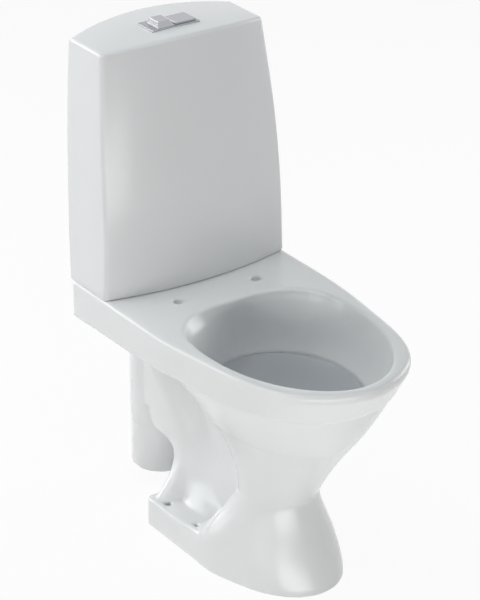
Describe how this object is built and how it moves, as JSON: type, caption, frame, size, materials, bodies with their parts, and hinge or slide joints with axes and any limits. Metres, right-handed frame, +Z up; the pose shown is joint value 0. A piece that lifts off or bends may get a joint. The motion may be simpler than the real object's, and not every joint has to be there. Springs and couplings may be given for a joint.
{
  "type": "toilet",
  "caption": "Floor-standing close-coupled toilet with open rim, waisted pedestal, trap limb, curved cistern hood and two flush buttons.",
  "frame": {"origin": "floor level, midway between the rim's front tip and the outlet spigot's rear, on the plane of symmetry", "axes": "+X to the right seen from the front, +Y towards the wall, +Z up"},
  "size_m": [0.359, 0.658, 0.8618],
  "materials": {
    "glazed_pan": "glossy",
    "glazed_hood": "glossy",
    "tank_plastic": "matte",
    "gasket_rubber": "matte",
    "bolt_brass": "satin",
    "washer_rubber": "matte",
    "nut_plastic": "satin",
    "valve_plastic": "satin",
    "tube_plastic": "satin",
    "seal_rubber": "matte",
    "weight_plastic": "satin",
    "pin_brass": "satin",
    "lever_plastic": "satin",
    "rod_plastic": "satin",
    "spring_steel": "satin",
    "plate_metal": "satin",
    "button_metal": "satin",
    "fill_plastic": "satin",
    "float_plastic": "satin"
  },
  "bodies": {
    "toilet": {"pan": "glazed_pan", "cistern_hood": "glazed_hood", "inner_cistern": "tank_plastic", "cistern_gasket": "gasket_rubber", "cistern_bolts": "bolt_brass", "bolt_washers": "washer_rubber", "wing_nuts": "nut_plastic", "valve_seat": "valve_plastic", "valve_seat_nut": "nut_plastic", "valve_cage": "valve_plastic", "valve_bridge": "valve_plastic", "lever_pins": "pin_brass", "clamp_screws": "spring_steel", "button_frame": "plate_metal", "fill_valve_body": "fill_plastic", "shank_washer": "washer_rubber", "fill_valve_nut": "nut_plastic", "fill_valve_cap": "fill_plastic", "float_lever_pin": "pin_brass"},
    "full_button": {"full_flush_button": "button_metal", "full_push_rod": "rod_plastic", "full_button_spring": "spring_steel"},
    "half_button": {"half_flush_button": "button_metal", "half_push_rod": "rod_plastic", "half_button_spring": "spring_steel"},
    "full_lever": {"full_flush_lever": "lever_plastic"},
    "half_lever": {"half_flush_lever": "lever_plastic"},
    "lift": {"lift_tube": "tube_plastic", "valve_seal": "seal_rubber"},
    "half_weight": {"half_flush_weight": "weight_plastic"},
    "float": {"float_cup": "float_plastic", "float_link": "float_plastic"},
    "float_arm": {"float_lever": "lever_plastic"}
  },
  "joints": [
    {"name": "full_press", "type": "slide", "parent": "toilet", "child": "full_button", "axis": [0, 0, -1], "range_m": [0, 0.006], "stiffness_N_per_m": 120, "springref_m": -0.004, "deforming": ["full_button_spring"]},
    {"name": "half_press", "type": "slide", "parent": "toilet", "child": "half_button", "axis": [0, 0, -1], "range_m": [0, 0.006], "stiffness_N_per_m": 120, "springref_m": -0.004, "deforming": ["half_button_spring"]},
    {"name": "full_lever_turn", "type": "hinge", "parent": "toilet", "child": "full_lever", "pos_m": [-0.01, 0.2465, 0.778], "axis": [0, -1, 0], "range_deg": [0, 24.7]},
    {"name": "half_lever_turn", "type": "hinge", "parent": "toilet", "child": "half_lever", "pos_m": [0.01, 0.2285, 0.778], "axis": [0, 1, 0], "range_deg": [0, 24.7]},
    {"name": "tube_lift", "type": "slide", "parent": "toilet", "child": "lift", "axis": [0, 0, 1], "range_m": [0, 0.0177]},
    {"name": "weight_lift", "type": "slide", "parent": "toilet", "child": "half_weight", "axis": [0, 0, 1], "range_m": [0, 0.0177]},
    {"name": "float_slide", "type": "slide", "parent": "toilet", "child": "float", "axis": [0, 0, 1], "range_m": [-0.008, 0]},
    {"name": "float_lever_turn", "type": "hinge", "parent": "toilet", "child": "float_arm", "pos_m": [0.12108, 0.222, 0.762], "axis": [0, 1, 0], "range_deg": [-14.8, 0]}
  ],
  "couplings": [
    {"joint": "full_lever_turn", "follows": "full_press", "rad_per_m": 71.55},
    {"joint": "half_lever_turn", "follows": "half_press", "rad_per_m": 71.55},
    {"joint": "tube_lift", "follows": "full_press", "ratio": 2.933},
    {"joint": "weight_lift", "follows": "half_press", "ratio": 2.933},
    {"joint": "float_lever_turn", "follows": "float_slide", "rad_per_m": 32}
  ]
}
